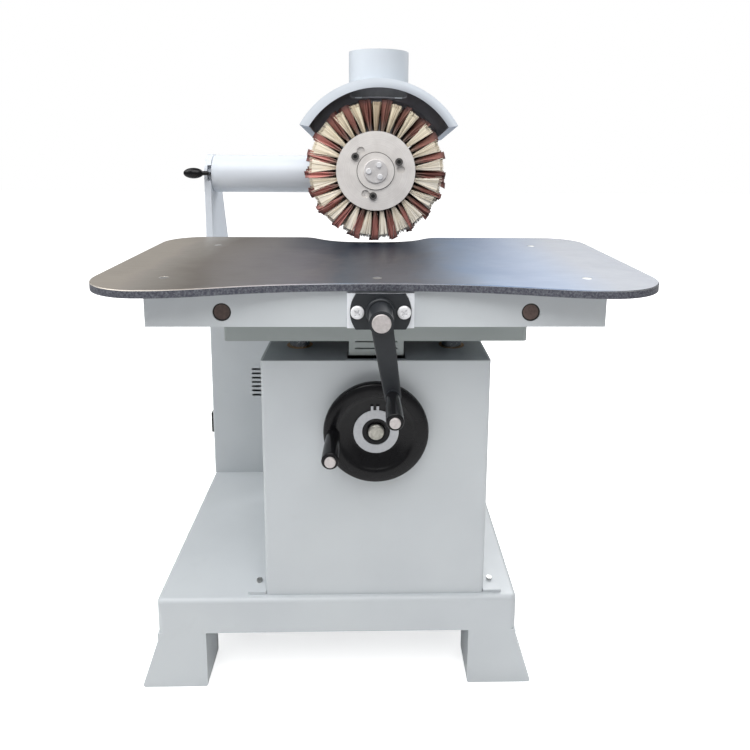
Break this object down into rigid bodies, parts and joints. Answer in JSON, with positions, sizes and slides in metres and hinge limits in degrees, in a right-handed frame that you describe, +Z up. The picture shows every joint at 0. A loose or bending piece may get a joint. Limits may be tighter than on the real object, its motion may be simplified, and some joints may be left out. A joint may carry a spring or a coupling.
{
  "type": "brush sander",
  "caption": "Pedestal brush sander: horizontal wheel of fibre tufts and abrasive flaps under a dust hood on a tilting motor head, above a lifting table fed by a crank.",
  "frame": {"origin": "centre of the bounding box on the floor", "axes": "+X to the operator's right, +Y away from the operator, +Z up"},
  "size_m": [1.028, 1.126, 1.354],
  "materials": {
    "paint": "smooth semi-gloss light bluish grey paint",
    "hood_paint": "smooth semi-gloss pale grey paint",
    "saddle_paint": "painted casting, greenish grey",
    "top_plate_paint": "dark blue-grey paint, oiled",
    "table_steel": "dark satin ground steel",
    "ground_steel": "bright ground steel",
    "black_enamel": "glossy black enamel",
    "black_plastic": "glossy black moulding",
    "dark_plastic": "matt dark moulding",
    "green_plastic": "green moulding",
    "red_plastic": "red moulding",
    "zinc": "zinc plated",
    "black_steel": "blackened steel",
    "cap_grey": "pale satin metal",
    "satin_aluminium": "turned satin aluminium",
    "bronze": "cast bronze",
    "iron": "machined cast iron",
    "laminations": "varnished lamination stack and winding",
    "bristle": "stiff cream plant fibre",
    "abrasive": "red-brown abrasive cloth"
  },
  "bodies": {
    "frame": {"base_frame": "paint", "foot_front_left": "paint", "foot_front_right": "paint", "foot_rear_left": "paint", "foot_rear_right": "paint", "pedestal_casing": "paint", "pedestal_top_plate": "top_plate_paint", "guide_bushes": "bronze", "lift_bracket": "iron", "shaft_housing": "black_enamel", "column_casing": "paint", "column_door": "paint", "upright": "paint", "frame_bolts": "zinc", "switch_body": "dark_plastic", "cable_gland": "dark_plastic"},
    "start_button": {"start_button": "green_plastic"},
    "stop_button": {"stop_button": "red_plastic"},
    "lock_lever": {"lock_lever": "black_plastic"},
    "saddle": {"saddle": "saddle_paint", "guide_columns": "ground_steel", "lift_nut": "bronze", "bar_bearings": "iron", "feed_nut": "bronze"},
    "table": {"table_apron": "paint", "table_rails": "paint", "guide_bars": "ground_steel", "table_top": "table_steel", "table_screws": "zinc", "crank_flange": "black_enamel", "crank_flange_screws": "zinc"},
    "crank": {"feed_screw": "ground_steel", "crank_arm": "black_enamel", "crank_hub_cap": "cap_grey", "crank_grip_pin": "cap_grey"},
    "crank_grip": {"crank_grip": "black_plastic"},
    "handwheel": {"handwheel_shaft": "ground_steel", "handwheel": "black_plastic", "handwheel_ring": "cap_grey", "handwheel_bolt": "zinc", "handwheel_grip_pin": "cap_grey"},
    "handwheel_grip": {"handwheel_grip": "black_plastic"},
    "lift_screw": {"lift_screw": "ground_steel", "bevel_gear": "ground_steel"},
    "head": {"pivot_tube": "paint", "pivot_collar": "ground_steel", "motor_housing": "paint", "motor_end_cover": "paint", "stator": "laminations", "spindle_bearings": "ground_steel", "hood": "hood_paint", "dust_outlet": "hood_paint"},
    "brush": {"spindle": "ground_steel", "brush_core": "satin_aluminium", "brush_flange": "satin_aluminium", "flange_screws": "black_steel", "hub_disc": "satin_aluminium", "hub_screws": "zinc", "bristle_strips": "bristle", "abrasive_strips": "abrasive"}
  },
  "joints": [
    {"name": "table_lift", "type": "slide", "parent": "frame", "child": "saddle", "axis": [0, 0, 1], "range_m": [-0.036, 0.005]},
    {"name": "table_slide", "type": "slide", "parent": "saddle", "child": "table", "axis": [0, 1, 0], "range_m": [-0.13, 0]},
    {"name": "crank_turn", "type": "hinge", "parent": "table", "child": "crank", "pos_m": [0.006, -0.43, 0.846], "axis": [0, 1, 0], "range_deg": [-4690, 10]},
    {"name": "crank_grip_spin", "type": "hinge", "parent": "crank", "child": "crank_grip", "pos_m": [0.02584, -0.51, 0.71783], "axis": [0, 1, 0], "continuous": true},
    {"name": "handwheel_turn", "type": "hinge", "parent": "frame", "child": "handwheel", "pos_m": [0, -0.304, 0.5775], "axis": [0, 1, 0], "range_deg": [-2170, 370]},
    {"name": "handwheel_grip_spin", "type": "hinge", "parent": "handwheel", "child": "handwheel_grip", "pos_m": [-0.083, -0.36, 0.5775], "axis": [0, 1, 0], "continuous": true},
    {"name": "lift_screw_turn", "type": "hinge", "parent": "frame", "child": "lift_screw", "pos_m": [0, -0.06, 0.6], "axis": [0, 0, 1], "range_deg": [-370, 2170]},
    {"name": "head_tilt", "type": "hinge", "parent": "frame", "child": "head", "pos_m": [0, 0.262, 1.05], "axis": [-1, 0, 0], "range_deg": [0, 45]},
    {"name": "brush_spin", "type": "hinge", "parent": "head", "child": "brush", "pos_m": [0, 0.086, 1.071], "axis": [0, 1, 0], "continuous": true},
    {"name": "lock_lever_swing", "type": "hinge", "parent": "frame", "child": "lock_lever", "pos_m": [-0.4395, 0.262, 1.05], "axis": [-1, 0, 0], "range_deg": [-13, 16]},
    {"name": "start_push", "type": "slide", "parent": "frame", "child": "start_button", "axis": [1, 0, 0], "range_m": [0, 0.0025], "stiffness_N_per_m": 600, "springref_m": -0.001},
    {"name": "stop_push", "type": "slide", "parent": "frame", "child": "stop_button", "axis": [1, 0, 0], "range_m": [0, 0.0025], "stiffness_N_per_m": 600, "springref_m": -0.001}
  ],
  "couplings": [
    {"joint": "handwheel_turn", "follows": "table_lift", "rad_per_m": 1047.2},
    {"joint": "lift_screw_turn", "follows": "table_lift", "rad_per_m": -1047.2},
    {"joint": "crank_turn", "follows": "table_slide", "rad_per_m": 628.32}
  ]
}
